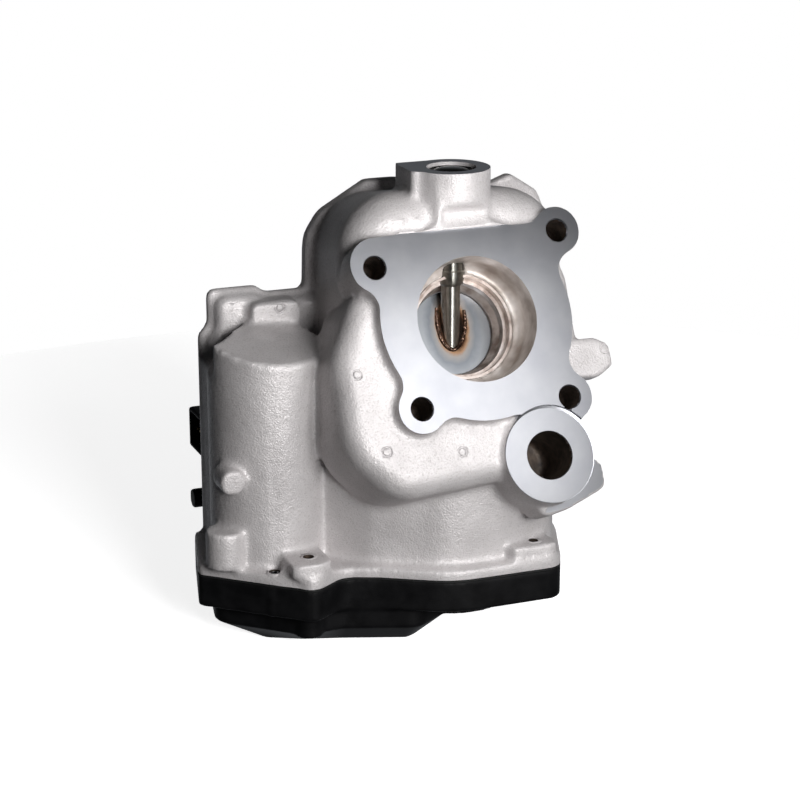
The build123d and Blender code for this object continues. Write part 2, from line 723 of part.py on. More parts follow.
# Double idler wheel and its pin
with BuildPart() as idler_gear:
    with BuildSketch(level(h_idler_wheel_foot, idler_x, idler_back)):
        with BuildLine():
            Polyline(*tooth_row(motor_module, idler_teeth, wheel_addendum, idler_wheel_phase, 0, idler_teeth),
                     close=True)
        make_face()
    extrude(amount=idler_wheel_height)
    with BuildSketch(level(h_idler_wheel_foot, idler_x, idler_back)):
        Circle(idler_rim_r)
        Circle(idler_hub_r, mode=Mode.SUBTRACT)
    extrude(amount=idler_wheel_height - idler_web, mode=Mode.SUBTRACT)
    with BuildSketch(level(h_idler_wheel_top, idler_x, idler_back)):
        with BuildLine():
            Polyline(*tooth_row(sector_module, idler_pinion_teeth, pinion_addendum, idler_pinion_phase, 0,
                                idler_pinion_teeth), close=True)
        make_face()
    extrude(amount=h_idler_top - h_idler_wheel_top)
    turned(idler_hub_r, h_idler_foot, h_idler_wheel_top, idler_x, idler_back)
    turned(idler_pin_r + run_clear, h_idler_foot, h_idler_top, idler_x, idler_back, Mode.SUBTRACT)
idler_gear.part.label = "idler_gear"
export_step(idler_gear.part, "parts/idler_gear.step")

with BuildPart() as idler_pin:
    turned(idler_pin_r, h_idler_pin_foot, h_idler_pin_top, idler_x, idler_back)
idler_pin.part.label = "idler_pin"
export_step(idler_pin.part, "parts/idler_pin.step")

# Return spring round the shaft, between the bearing and the sector
with BuildPart() as return_spring:
    with BuildLine():
        spring_path = Helix(spring_pitch, spring_pitch * spring_turns, spring_r,
                            center=(0, flap_y, flap_z + h_spring_foot))
    with BuildSketch(Plane(origin=spring_path @ 0, z_dir=spring_path % 0)):
        RegularPolygon(spring_wire_r, 8)
    sweep(is_frenet=True)
return_spring.part.label = "return_spring"
export_step(return_spring.part, "parts/return_spring.step")

# Motor: can, end cap, magnets, brushes, and the damper ring above it
with BuildPart() as motor_can:
    turned(motor_can_r, h_motor_can_foot, h_motor_can_top, motor_x, motor_back)
    turned(motor_hub_r, h_motor_can_top, h_motor_can_top + motor_hub_height, motor_x, motor_back)
    turned(motor_can_r - motor_can_wall, h_motor_can_foot, h_motor_can_top - motor_can_wall, motor_x, motor_back,
           Mode.SUBTRACT)
    turned(motor_shaft_r + run_clear, h_motor_can_foot, h_motor_shaft_top + 0.3, motor_x, motor_back,
           Mode.SUBTRACT)
motor_can.part.label = "motor_can"
export_step(motor_can.part, "parts/motor_can.step")

with BuildPart() as motor_end_cap:
    turned(motor_can_r, h_motor_can_foot - motor_cap_height, h_motor_can_foot, motor_x, motor_back)
    turned(motor_bore_r - fit_clear, h_motor_can_foot, h_motor_can_foot + motor_cap_spigot, motor_x, motor_back)
    turned(motor_shaft_r + run_clear, h_motor_can_foot - motor_cap_height, h_motor_can_foot + motor_cap_spigot,
           motor_x, motor_back, Mode.SUBTRACT)
motor_end_cap.part.label = "motor_end_cap"
export_step(motor_end_cap.part, "parts/motor_end_cap.step")

with BuildPart() as motor_magnets:
    with BuildSketch(level(h_magnet_foot, motor_x, motor_back)):
        Circle(motor_bore_r - fit_clear)
        Circle(motor_bore_r - magnet_wall, mode=Mode.SUBTRACT)
        Rectangle(2 * motor_can_r, magnet_opening, mode=Mode.SUBTRACT)
    extrude(amount=magnet_length)
motor_magnets.part.label = "motor_magnets"
export_step(motor_magnets.part, "parts/motor_magnets.step")

with BuildPart() as motor_brushes:
    with BuildSketch(level(h_brush_foot, motor_x, motor_back)):
        Rectangle(2 * (motor_bore_r - fit_clear), brush_size)
        Circle(motor_bore_r - fit_clear, mode=Mode.INTERSECT)
        Circle(commutator_r + brush_gap, mode=Mode.SUBTRACT)
    extrude(amount=brush_size)
motor_brushes.part.label = "motor_brushes"
export_step(motor_brushes.part, "parts/motor_brushes.step")

with BuildPart() as motor_damper:
    with BuildSketch(level(h_motor_can_top, motor_x, motor_back)):
        Circle(damper_outer_r)
        Circle(damper_inner_r, mode=Mode.SUBTRACT)
    extrude(amount=h_motor_chamber_top - h_motor_can_top)
motor_damper.part.label = "motor_damper"
export_step(motor_damper.part, "parts/motor_damper.step")

with BuildPart() as motor_bracket:
    with BuildSketch(level(h_ledge_foot - motor_plate_thickness, motor_x, motor_back)):
        Circle(motor_plate_r)
        with Locations(*motor_ear_offsets):
            Circle(motor_ear_r)
        Circle(motor_can_r + fit_clear, mode=Mode.SUBTRACT)
        with Locations(*motor_ear_offsets):
            Circle(motor_screw_r + fit_clear, mode=Mode.SUBTRACT)
    extrude(amount=motor_plate_thickness)
motor_bracket.part.label = "motor_bracket"
export_step(motor_bracket.part, "parts/motor_bracket.step")

with BuildPart() as motor_screws:
    for x, back in motor_ears:
        turned(motor_screw_r, h_motor_screw_head, h_motor_screw_head + motor_screw_length, x, back)
        turned(motor_screw_head_r, h_motor_screw_head - motor_screw_head_height, h_motor_screw_head, x, back)
motor_screws.part.label = "motor_screws"
export_step(motor_screws.part, "parts/motor_screws.step")

# Rotor of the motor: shaft, pinion, armature
with BuildPart() as motor_shaft:
    turned(motor_shaft_r, h_motor_shaft_foot, h_motor_shaft_top, motor_x, motor_back)
motor_shaft.part.label = "motor_shaft"
export_step(motor_shaft.part, "parts/motor_shaft.step")

with BuildPart() as motor_pinion:
    with BuildSketch(level(h_pinion_foot, motor_x, motor_back)):
        with BuildLine():
            Polyline(*tooth_row(motor_module, pinion_teeth, pinion_addendum, motor_pinion_phase, 0, pinion_teeth),
                     close=True)
        make_face()
    extrude(amount=pinion_height)
    turned(motor_shaft_r + fit_clear, h_pinion_foot, h_pinion_foot + pinion_height, motor_x, motor_back,
           Mode.SUBTRACT)
motor_pinion.part.label = "motor_pinion"
export_step(motor_pinion.part, "parts/motor_pinion.step")

with BuildPart() as motor_armature:
    with BuildSketch(level(h_rotor_foot, motor_x, motor_back)):
        Circle(rotor_r)
        with PolarLocations(rotor_r - rotor_slot_depth / 2, rotor_slots):
            Rectangle(rotor_slot_depth + 1, rotor_slot_width, mode=Mode.SUBTRACT)
    extrude(amount=rotor_length)
    turned(winding_r, h_rotor_foot - winding_height, h_rotor_foot + rotor_length + winding_height, motor_x,
           motor_back)
    turned(commutator_r, h_commutator_foot, h_rotor_foot, motor_x, motor_back)
    turned(motor_shaft_r + fit_clear, h_commutator_foot, h_rotor_foot + rotor_length + winding_height, motor_x,
           motor_back, Mode.SUBTRACT)
motor_armature.part.label = "motor_armature"
export_step(motor_armature.part, "parts/motor_armature.step")

# Gear cover with the connector tower behind the casting
with BuildPart() as gear_cover:
    with BuildSketch(level(h_cover_top)):
        outline(ledge_points, ledge_radii)
    extrude(amount=h_rim_foot - h_cover_top)
    turned(cup_r, h_cup_foot, h_rim_foot)
    with BuildSketch(level(h_rim_foot)):
        outline(bulge_points, bulge_radii)
    extrude(amount=h_bulge_knee - h_rim_foot)
    with BuildSketch(level(h_bulge_knee)):
        outline(bulge_points, bulge_radii)
    with BuildSketch(level(h_bulge_foot)):
        outline(bulge_foot_points, bulge_foot_radii)
    loft()
    with BuildSketch(level(h_rim_foot, (tower_left + tower_right) / 2, (tower_root + tower_back) / 2)):
        Rectangle(tower_right - tower_left, tower_back - tower_root)
    extrude(amount=tower_root_height)
    with BuildSketch(level(h_rim_foot, (tower_left + tower_right) / 2, (tower_front + tower_back) / 2)):
        RectangleRounded(tower_right - tower_left, tower_back - tower_front, 3)
    extrude(amount=h_tower_top - h_rim_foot)
    block((tower_left - socket_reach, tower_left + 1), (socket_back - socket_width / 2 - socket_wall,
          socket_back + socket_width / 2 + socket_wall), (h_socket - socket_height / 2 - socket_wall,
          h_socket + socket_height / 2 + socket_wall))
    with BuildSketch(Plane(origin=(tower_left, flap_y + clip_post_back, flap_z + h_clip_post), z_dir=(-1, 0, 0))):
        Circle(clip_post_r)
    extrude(amount=clip_post_length)

    # Rooms for the gears and the screw bosses that stand in them
    with BuildSketch(level(h_cover_top)):
        outline(ledge_points, ledge_radii)
        offset(amount=-cover_wall)
    extrude(amount=h_rim_foot + cover_floor - h_cover_top, mode=Mode.SUBTRACT)
    turned(cup_r - cover_wall, h_cup_floor, h_rim_foot + cover_floor, mode=Mode.SUBTRACT)
    with BuildSketch(level(h_rim_foot + cover_floor)):
        outline(bulge_points, bulge_radii)
        offset(amount=-cover_wall)
    extrude(amount=h_bulge_knee - h_rim_foot - cover_floor, mode=Mode.SUBTRACT)
    with BuildSketch(level(h_bulge_knee)):
        outline(bulge_points, bulge_radii)
        offset(amount=-cover_wall)
    with BuildSketch(level(h_bulge_floor)):
        outline(bulge_foot_points, bulge_foot_radii)
        offset(amount=-cover_wall / 2)
    loft(mode=Mode.SUBTRACT)
    for x, back in cover_screws:
        turned(cover_boss_r, h_rim_foot, h_cover_top, x, back)
    turned(screw_column_r, h_screw_column_foot, h_rim_foot, *cover_screws[0])
    with BuildSketch(upright(plate_back)):
        with Locations(tower_screw_at):
            Circle(screw_column_r)
    extrude(amount=plate_back - tower_front)
    turned(dowel_boss_r, h_rim_foot, h_cover_top, *dowel_at)
    turned(idler_hub_r - 1, h_bulge_floor, h_idler_pin_boss, idler_x, idler_back)
    for x, back in cover_screws:
        turned(screw_hole_r, h_screw_seat, h_cover_top, x, back, Mode.SUBTRACT)
        turned(screw_well_r, h_bulge_foot, h_screw_seat, x, back, Mode.SUBTRACT)
    with BuildSketch(upright(plate_back)):
        with Locations(tower_screw_at):
            Circle(screw_hole_r)
    extrude(amount=plate_back - tower_back, mode=Mode.SUBTRACT)
    with BuildSketch(upright(tower_screw_seat)):
        with Locations(tower_screw_at):
            Circle(screw_well_r)
    extrude(amount=tower_screw_seat - tower_back, mode=Mode.SUBTRACT)
    turned(dowel_r + fit_clear, h_dowel_foot, h_cover_top, *dowel_at, Mode.SUBTRACT)
    turned(idler_pin_r + fit_clear, h_idler_pin_foot, h_idler_pin_boss, idler_x, idler_back, Mode.SUBTRACT)
    block((tower_left - socket_reach, tower_left - socket_reach + socket_depth), (socket_back - socket_width / 2,
          socket_back + socket_width / 2), (h_socket - socket_height / 2, h_socket + socket_height / 2),
          Mode.SUBTRACT)
gear_cover.part.label = "gear_cover"
export_step(gear_cover.part, "parts/gear_cover.step")

with BuildPart() as cover_gasket:
    with BuildSketch(level(h_cover_top)):
        outline(ledge_points, ledge_radii)
        offset(amount=-gasket_width, mode=Mode.SUBTRACT)
        with Locations(*cover_screws):
            Circle(cover_boss_r - 0.5)
        with Locations(*cover_screws):
            Circle(screw_hole_r, mode=Mode.SUBTRACT)
        with Locations(dowel_at):
            Circle(dowel_boss_r - 0.2)
            Circle(dowel_r + 0.2, mode=Mode.SUBTRACT)
    extrude(amount=gasket_thickness)
cover_gasket.part.label = "cover_gasket"
export_step(cover_gasket.part, "parts/cover_gasket.step")

with BuildPart() as cover_screw_set:
    for x, back in cover_screws:
        turned(screw_r, h_screw_seat, h_screw_top, x, back)
        turned(screw_head_r, h_screw_seat - screw_head_height, h_screw_seat, x, back)
    with BuildSketch(upright(tower_screw_seat)):
        with Locations(tower_screw_at):
            Circle(screw_r)
    extrude(amount=tower_screw_seat - rear_face + tower_screw_bite - 0.5)
    with BuildSketch(upright(tower_screw_seat)):
        with Locations(tower_screw_at):
            Circle(screw_head_r)
    extrude(amount=-screw_head_height)
cover_screw_set.part.label = "cover_screws"
export_step(cover_screw_set.part, "parts/cover_screws.step")

with BuildPart() as cover_dowel:
    turned(dowel_r, h_dowel_foot, h_dowel_foot + dowel_length, *dowel_at)
cover_dowel.part.label = "cover_dowel"
export_step(cover_dowel.part, "parts/cover_dowel.step")

# Position sensor and the contacts in the socket
with BuildPart() as sensor_board:
    block((-board_size[0] / 2, board_size[0] / 2), (-board_size[1] / 2, board_size[1] / 2),
          (h_cup_floor, h_cup_floor + board_thickness))
    block((-chip_size / 2, chip_size / 2), (-chip_size / 2, chip_size / 2),
          (h_cup_floor + board_thickness, h_cup_floor + board_thickness + chip_height))
sensor_board.part.label = "sensor_board"
export_step(sensor_board.part, "parts/sensor_board.step")

with BuildPart() as connector_terminals:
    for k in range(terminal_count):
        terminal_back = socket_back + (k - (terminal_count - 1) / 2) * terminal_pitch
        block((socket_floor - terminal_length, socket_floor),
              (terminal_back - terminal_size / 2, terminal_back + terminal_size / 2),
              (h_socket - terminal_size / 2, h_socket + terminal_size / 2))
connector_terminals.part.label = "connector_terminals"
export_step(connector_terminals.part, "parts/connector_terminals.step")
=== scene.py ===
# %% [markdown]
# # Exhaust gas recirculation valve
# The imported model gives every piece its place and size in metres. This script dresses it: the casting gets
# its soft cast fillets and crisp milled faces, the plastic cover gets its edges, and every piece gets the
# material of the real one. Then come the lights, the floor and the camera.

# %% Load the frame
from math import cos, hypot, pi, radians, sin

import bmesh
import bpy
from mathutils import Matrix, Vector


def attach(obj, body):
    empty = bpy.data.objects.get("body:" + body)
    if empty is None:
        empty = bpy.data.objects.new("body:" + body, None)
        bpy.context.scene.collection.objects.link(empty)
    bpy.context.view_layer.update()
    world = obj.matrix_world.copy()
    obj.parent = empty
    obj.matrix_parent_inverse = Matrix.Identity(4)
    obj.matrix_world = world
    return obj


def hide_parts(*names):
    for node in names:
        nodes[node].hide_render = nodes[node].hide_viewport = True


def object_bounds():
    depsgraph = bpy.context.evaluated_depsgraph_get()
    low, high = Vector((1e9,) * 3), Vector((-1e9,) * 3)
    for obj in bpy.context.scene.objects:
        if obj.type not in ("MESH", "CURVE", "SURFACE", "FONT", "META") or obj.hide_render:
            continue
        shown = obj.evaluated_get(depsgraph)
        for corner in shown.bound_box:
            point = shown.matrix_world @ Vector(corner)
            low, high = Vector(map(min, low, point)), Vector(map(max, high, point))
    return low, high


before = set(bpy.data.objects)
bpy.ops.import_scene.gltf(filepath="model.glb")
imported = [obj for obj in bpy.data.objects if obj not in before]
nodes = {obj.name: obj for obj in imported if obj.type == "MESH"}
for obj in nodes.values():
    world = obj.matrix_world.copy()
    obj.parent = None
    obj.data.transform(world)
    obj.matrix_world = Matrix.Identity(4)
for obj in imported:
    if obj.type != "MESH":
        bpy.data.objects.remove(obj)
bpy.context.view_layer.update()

MM = 0.001

# %% [markdown]
# The valve's own directions. The duct leans 25.5 degrees, so the flange has its own plane: `u` runs across it,
# `v` up it, and `depth` behind it. Places near the shaft are given as x, distance behind the shaft, and height.

# %% Directions and places
TILT = radians(25.5)
OUT = Vector((0, -cos(TILT), sin(TILT)))
UP_FACE = Vector((0, sin(TILT), cos(TILT)))
ACROSS = Vector((1, 0, 0))
FLAP_DEPTH = 26.5
FLAP_CENTRE = OUT * (-FLAP_DEPTH * MM)


def on_flange(u, v, depth=0.0):
    """Point given in millimetres on the flange: across, up the face, behind it."""
    return (ACROSS * u + UP_FACE * v - OUT * depth) * MM


def by_shaft(x, back, height):
    """Point given in millimetres from the flap centre."""
    return FLAP_CENTRE + Vector((x, back, height)) * MM


FLANGE_FRAME = Matrix((ACROSS, UP_FACE, OUT)).transposed().to_4x4()

# %% [markdown]
# Small helpers: a mesh object from a bmesh, a solid of revolution by a full spin, and a box. The others apply
# modifiers, cut or join two solids, copy a CAD solid, and lay a soft skin over it.

# %% Mesh helpers
def make_object(name, bm, material=None):
    """Object at the origin from a bmesh, whose vertices already are in place."""
    mesh = bpy.data.meshes.new(name)
    bm.to_mesh(mesh)
    bm.free()
    obj = bpy.data.objects.new(name, mesh)
    bpy.context.scene.collection.objects.link(obj)
    if material:
        mesh.materials.append(material)
    return obj


def frame_matrix(origin, axis, across=ACROSS):
    """Matrix whose Z is the axis, for shapes made about their own Z."""
    z = Vector(axis).normalized()
    x = (Vector(across) - z * Vector(across).dot(z)).normalized()
    y = z.cross(x)
    matrix = Matrix((x, y, z)).transposed().to_4x4()
    matrix.translation = Vector(origin)
    return matrix


def turned(name, profile, origin, axis, material=None, steps=96, closed=True):
    """Solid of revolution from a profile in millimetres."""
    bm = bmesh.new()
    verts = [bm.verts.new((r * MM, 0, a * MM)) for r, a in profile]
    pairs = list(zip(verts, verts[1:])) + ([(verts[-1], verts[0])] if closed else [])
    edges = [bm.edges.new(pair) for pair in pairs]
    bmesh.ops.spin(bm, geom=verts + edges, cent=(0, 0, 0), axis=(0, 0, 1), dvec=(0, 0, 0),
                   angle=2 * pi, steps=steps, use_merge=True, use_normal_flip=False, use_duplicate=False)
    bmesh.ops.remove_doubles(bm, verts=bm.verts, dist=1e-6)
    bmesh.ops.recalc_face_normals(bm, faces=bm.faces)
    bm.transform(frame_matrix(origin, axis))
    return make_object(name, bm, material)


def box(name, low, high, matrix=None):
    """Box between two corners in millimetres, in the space of a matrix."""
    bm = bmesh.new()
    bmesh.ops.create_cube(bm, size=1)
    for v in bm.verts:
        v.co = Vector([(a + b) / 2 + c * (b - a) for a, b, c in zip(low, high, v.co)]) * MM
    if matrix:
        bm.transform(matrix)
    bmesh.ops.recalc_face_normals(bm, faces=bm.faces)
    return make_object(name, bm)


def apply_modifiers(obj):
    """Replace the object's mesh by what its modifiers make of it."""
    bpy.context.view_layer.update()
    done = bpy.data.meshes.new_from_object(obj.evaluated_get(bpy.context.evaluated_depsgraph_get()))
    old = obj.data
    obj.modifiers.clear()
    obj.data = done
    bpy.data.meshes.remove(old)


def boolean(obj, tool, operation="DIFFERENCE"):
    """Cut or join with another closed object, which is then removed."""
    modifier = obj.modifiers.new("cut", "BOOLEAN")
    modifier.object = tool
    modifier.operation = operation
    modifier.solver = "MANIFOLD"
    apply_modifiers(obj)
    bpy.data.objects.remove(tool)


def copy_of(node, name):
    """Closed copy of a CAD node's mesh in a new object."""
    bm = bmesh.new()
    bm.from_mesh(nodes[node].data)
    bmesh.ops.remove_doubles(bm, verts=bm.verts, dist=2e-6)
    return make_object(name, bm)


def remesh(obj, voxel_mm, rounds):
    """Even skin of small squares over the shape, then smoothed, as sand and wax round a casting."""
    modifier = obj.modifiers.new("skin", "REMESH")
    modifier.mode = "VOXEL"
    modifier.voxel_size = voxel_mm * MM
    apply_modifiers(obj)
    modifier = obj.modifiers.new("soften", "SMOOTH")
    modifier.factor = 0.5
    modifier.iterations = rounds
    apply_modifiers(obj)


# %% [markdown]
# Materials. One helper adds a node with its settings and links, and a second makes a whole finish: colour that
# varies in patches, and a fine grain with a real depth. Sizes are those on the real piece, in millimetres. The
# colours are sRGB hex, as a colour picker gives them, and one function turns them to linear light.

# %% Material helpers
def linear(code):
    """Linear colour from sRGB hex."""
    channels = [int(code[i:i + 2], 16) / 255 for i in (0, 2, 4)]
    return [c / 12.92 if c <= 0.04045 else ((c + 0.055) / 1.055) ** 2.4 for c in channels] + [1.0]


def add_node(tree, kind, links=None, stops=(), **settings):
    """New shader node: links by input socket, settings by property or socket name, stops of a colour ramp."""
    node = tree.nodes.new("ShaderNode" + kind)
    for key, value in settings.items():
        if hasattr(node, key):
            setattr(node, key, value)
        else:
            node.inputs[key.replace("_", " ")].default_value = value
    for socket, source in (links or {}).items():
        tree.links.new(source, node.inputs[socket])
    for number, (position, color) in enumerate(stops):
        if number < 2:
            element = node.color_ramp.elements[number]
            element.position = position
        else:
            element = node.color_ramp.elements.new(position)
        element.color = linear(color)
    return node


def finish(name, stops, roughness, metallic, patch_mm, grain_mm, depth_mm, lines=(1, 1, 1), specular=0.5):
    """Material with patches of colour and a grain; lines stretches the grain into strokes."""
    material = bpy.data.materials.new(name)
    material.use_nodes = True
    tree = material.node_tree
    shader = tree.nodes["Principled BSDF"]
    shader.inputs["Roughness"].default_value = roughness
    shader.inputs["Metallic"].default_value = metallic
    shader.inputs["Specular IOR Level"].default_value = specular
    place = add_node(tree, "TexCoord").outputs["Object"]
    patches = add_node(tree, "TexNoise", {"Vector": place}, Scale=1 / (patch_mm * MM), Detail=3.0)
    color = add_node(tree, "ValToRGB", {"Fac": patches.outputs["Fac"]}, stops, name="color")
    along = add_node(tree, "Mapping", {"Vector": place}, Scale=lines)
    grain = add_node(tree, "TexNoise", {"Vector": along.outputs["Vector"]}, Scale=1 / (grain_mm * MM), Detail=2.0,
                     name="grain")
    relief = add_node(tree, "Bump", {"Height": grain.outputs["Fac"]}, Distance=depth_mm * MM, name="relief")
    tree.links.new(color.outputs["Color"], shader.inputs["Base Color"])
    tree.links.new(relief.outputs["Normal"], shader.inputs["Normal"])
    return material


# %% [markdown]
# The casting is aluminium from a rough mould. Light goes back and forth between the grains of its skin, which
# looks half matt, so the metallic value is low. The grain is about 0.6 mm across, over a softer unevenness of
# 3 mm, and the small crests shine more than the dips between them. The dips also get painted shade: their base
# colour is darkened.

# %% Cast aluminium
cast_metal = finish("cast_aluminium", [(0.3, "bdb9b9"), (0.7, "cecaca")], 0.45, 0.35, 16, 0.58, 0.19)
tree = cast_metal.node_tree
shader = tree.nodes["Principled BSDF"]
grain = tree.nodes["grain"].outputs["Fac"]
# Painted shade: the dips of the grain darken the base colour.
painted_hollow_shade = add_node(tree, "ValToRGB", {"Fac": grain}, [(0.3, "ebeae9"), (0.46, "ffffff")])
shade_darkened_color = add_node(tree, "Mix", {6: tree.nodes["color"].outputs["Color"], 7: painted_hollow_shade.outputs["Color"]},
                  data_type="RGBA", blend_type="MULTIPLY", Factor=1.0)
tree.links.new(shade_darkened_color.outputs[2], shader.inputs["Base Color"])
shine = add_node(tree, "MapRange", {"Value": grain}, From_Min=0.3, From_Max=0.7, To_Min=0.6, To_Max=0.36)
tree.links.new(shine.outputs["Result"], shader.inputs["Roughness"])
place = add_node(tree, "TexCoord").outputs["Object"]
uneven = add_node(tree, "TexNoise", {"Vector": place}, Scale=1 / (3 * MM), Detail=2.0)
swell = add_node(tree, "Bump", {"Height": uneven.outputs["Fac"]}, Distance=0.2 * MM)
tree.links.new(swell.outputs["Normal"], tree.nodes["relief"].inputs["Normal"])

# %% [markdown]
# The same aluminium where a cutter has been is bright and cool in tone, with faint lines along its path. Bore
# walls are turned, and warmer from the exhaust heat. Deep holes get a very dark colour: painted shade for the
# shade that falls inside them.

# %% Milled and bored aluminium, and painted shade for holes
milled_metal = finish("milled_aluminium", [(0.3, "b0b1b7"), (0.7, "bcbdc1")], 0.31, 1.0, 11, 1.0, 0.012,
                      (0.12, 2.5, 2.5))
bore_metal = finish("bored_aluminium", [(0.34, "9a8e86"), (0.66, "d6cfca")], 0.36, 0.45, 9, 0.9, 0.012)
# Painted shade: this very dark colour stands for the shade inside deep holes, not for the metal.
hole_shade_metal = finish("hole_shade_aluminium", [(0.3, "2b2522"), (0.7, "54483f")], 0.5, 0.4, 2.5, 0.8, 0.03)

# %% [markdown]
# Steels. The shaft and its bush are ground, which leaves fine marks round the axis. Such marks draw a highlight
# out along it, so these two have anisotropic shading. The bracket, the screws and the motor can are zinc plated.
# The liner is turned stainless steel, warm from heat tint.

# %% Steels and brass
steel = finish("ground_steel", [(0.3, "8d8d90"), (0.7, "a9a9ab")], 0.22, 1.0, 3, 0.6, 0.006)
shaft_steel = finish("hardened_shaft_steel", [(0.3, "a9a7a0"), (0.7, "c8c6bf")], 0.3, 1.0, 3, 0.6, 0.004)
bush_steel = finish("sintered_bush_steel", [(0.3, "8b8a84"), (0.7, "aaa8a1")], 0.33, 1.0, 1.5, 0.5, 0.006)
for turned_part in (shaft_steel, bush_steel):
    shader = turned_part.node_tree.nodes["Principled BSDF"]
    shader.inputs["Anisotropic"].default_value = 0.85
    shader.inputs["Anisotropic Rotation"].default_value = 0.25
plug_steel = finish("pressed_plug_steel", [(0.3, "6c6b66"), (0.7, "8f8e89")], 0.26, 1.0, 3, 0.6, 0.01)
zinc = finish("zinc_plated_steel", [(0.3, "8b8c90"), (0.7, "a5a6a8")], 0.35, 1.0, 2, 0.5, 0.01)
spring_steel = finish("spring_steel", [(0.3, "55555a"), (0.7, "74747a")], 0.32, 1.0, 2, 0.5, 0.01)
brass = finish("tinned_brass", [(0.3, "a68a4c"), (0.7, "c4a764")], 0.3, 1.0, 2, 0.5, 0.01)
liner_steel = finish("liner_stainless_steel", [(0.34, "8f8078"), (0.5, "bdb1aa"), (0.7, "d2cac6")], 0.34, 0.65, 5,
                     0.8, 0.012)

# %% [markdown]
# The flap is stainless steel, and the heat of welding has coloured it round the weld: brown-black at the bead,
# then straw, then the plain blue-grey sheet. The colour follows the distance from the weld, so a Mapping node
# turns the coordinates into the flap's own plane, and the length of that vector goes through a colour ramp.

# %% Heat-tinted flap and weld bead
disc_steel = finish("flap_stainless_steel", [(0, "000000"), (1, "ffffff")], 0.3, 1.0, 3, 1.1, 0.01)
tree = disc_steel.node_tree
place = add_node(tree, "TexCoord").outputs["Object"]
in_plane = add_node(tree, "Mapping", {"Vector": place}, vector_type="TEXTURE", Location=on_flange(0.6, 1.9, 25.5),
                    Rotation=(pi / 2 - TILT, 0, 0), Scale=(11.0 * MM, 17 * MM, 1.0))
away = add_node(tree, "VectorMath", {"Vector": in_plane.outputs["Vector"]}, operation="LENGTH").outputs["Value"]
wander = add_node(tree, "MapRange", {"Value": tree.nodes["color"].inputs["Fac"].links[0].from_socket},
                  To_Min=-0.08, To_Max=0.08).outputs["Result"]
reach = add_node(tree, "Math", {0: away, 1: wander}, operation="ADD").outputs["Value"]
tint = add_node(tree, "ValToRGB", {"Fac": reach}, [(0.36, "1d1612"), (1.1, "999ca0"), (0.46, "4b3325"),
                                                  (0.54, "9a7a60"), (0.62, "94908d"), (0.78, "7d8187")])
tree.links.new(tint.outputs["Color"], tree.nodes["Principled BSDF"].inputs["Base Color"])

weld_metal = finish("weld_bead_steel", [(0.35, "2e211b"), (0.65, "8a6f60")], 0.3, 1.0, 1.4, 0.6, 0.06)

# %% [markdown]
# Plastics, rubber, magnets and the winding. The cover is glass-filled nylon, whose fine matt grain takes nearly
# all of its shine away. Each of the others has a slight mottling and grain of its own.

# %% Plastics, rubber and the rest
cover_plastic = finish("glass_filled_nylon", [(0.35, "0a0a0b"), (0.65, "121213")], 0.5, 0, 6, 0.5, 0.05,
                       specular=0.14)
inner_plastic = finish("motor_cap_plastic", [(0.35, "17171a"), (0.65, "1f1f21")], 0.5, 0, 6, 0.4, 0.02)
gear_plastic = finish("acetal_gear_plastic", [(0.35, "c2bba8"), (0.65, "cfc9b8")], 0.42, 0, 6, 0.4, 0.01)
board_green = finish("coated_circuit_board", [(0.35, "123a26"), (0.65, "184a31")], 0.35, 0, 4, 0.4, 0.01)
rubber = finish("black_rubber", [(0.35, "111111"), (0.65, "191919")], 0.62, 0, 4, 0.4, 0.02)
ferrite = finish("ferrite_magnet", [(0.35, "222226"), (0.65, "2e2e33")], 0.6, 0.3, 4, 0.4, 0.02)
carbon = finish("carbon_brush", [(0.35, "131313"), (0.65, "1d1d1d")], 0.7, 0, 4, 0.4, 0.02)
copper = finish("enamelled_copper", [(0.35, "7c3f1f"), (0.65, "96542d")], 0.33, 0.8, 4, 0.5, 0.03)
print("materials:", len(bpy.data.materials))

# %% [markdown]
# The casting. A copy of the CAD solid gets a little more metal on the faces that are milled later. A skin of
# small squares is laid over it and smoothed, which rounds all corners as a mould does. Then the milled faces
# and bores are cut at their true places, so their edges are crisp again. The pad beside the dowel is drawn in
# a little first, so that its fillet stays clear of the dowel's hole.

# %% Casting: stock on the milled faces, skin, smoothing
STOCK = 1.6
PORT, PORT_DEPTH = (18.9, -49), 2
DOWEL_AT, PAD_EDGE = (-70.3, -13.0), -67.0
REAR_FACE, LEDGE_FACE, BOSS_TOP = 36, -78, 59.2
casting = copy_of("housing", "casting")
rear_y = by_shaft(0, REAR_FACE, 0).y
ledge_z = by_shaft(0, 0, LEDGE_FACE).z
boss_z = by_shaft(0, 0, BOSS_TOP).z
port_centre = on_flange(*PORT)
for vertex in casting.data.vertices:
    place = vertex.co
    ahead = place.dot(OUT) / MM
    v = place.dot(UP_FACE) / MM
    if abs(ahead) < 0.01 and v < 37:
        vertex.co += OUT * STOCK * MM
    elif abs(ahead + PORT_DEPTH) < 0.01 and (place - port_centre - OUT * ahead * MM).length < 16.6 * MM:
        vertex.co += OUT * STOCK * MM
    elif abs(place.z - boss_z) < 1e-5:
        vertex.co.z += STOCK * MM
    elif abs(place.z - ledge_z) < 1e-5:
        vertex.co.z -= STOCK * MM
    elif abs(place.y - rear_y) < 1e-5:
        vertex.co.y += STOCK * MM
    x, back, height = (place - FLAP_CENTRE) / MM
    beside_pad = -69.1 < x < PAD_EDGE and -24.1 < back < -4.9 and -74.5 < height < -69.3
    if beside_pad and hypot(x - DOWEL_AT[0], back - DOWEL_AT[1]) > 2.1:
        vertex.co.x = FLAP_CENTRE.x + PAD_EDGE * MM
remesh(casting, 1.08, 4)

# %% [markdown]
# The milled faces: flange, boss top, underside of the ledge and rear plate each lose their stock to one flat cut.
# The wing beside the port lies deeper. A ring about the port, kept to one side by a box, mills it flat.

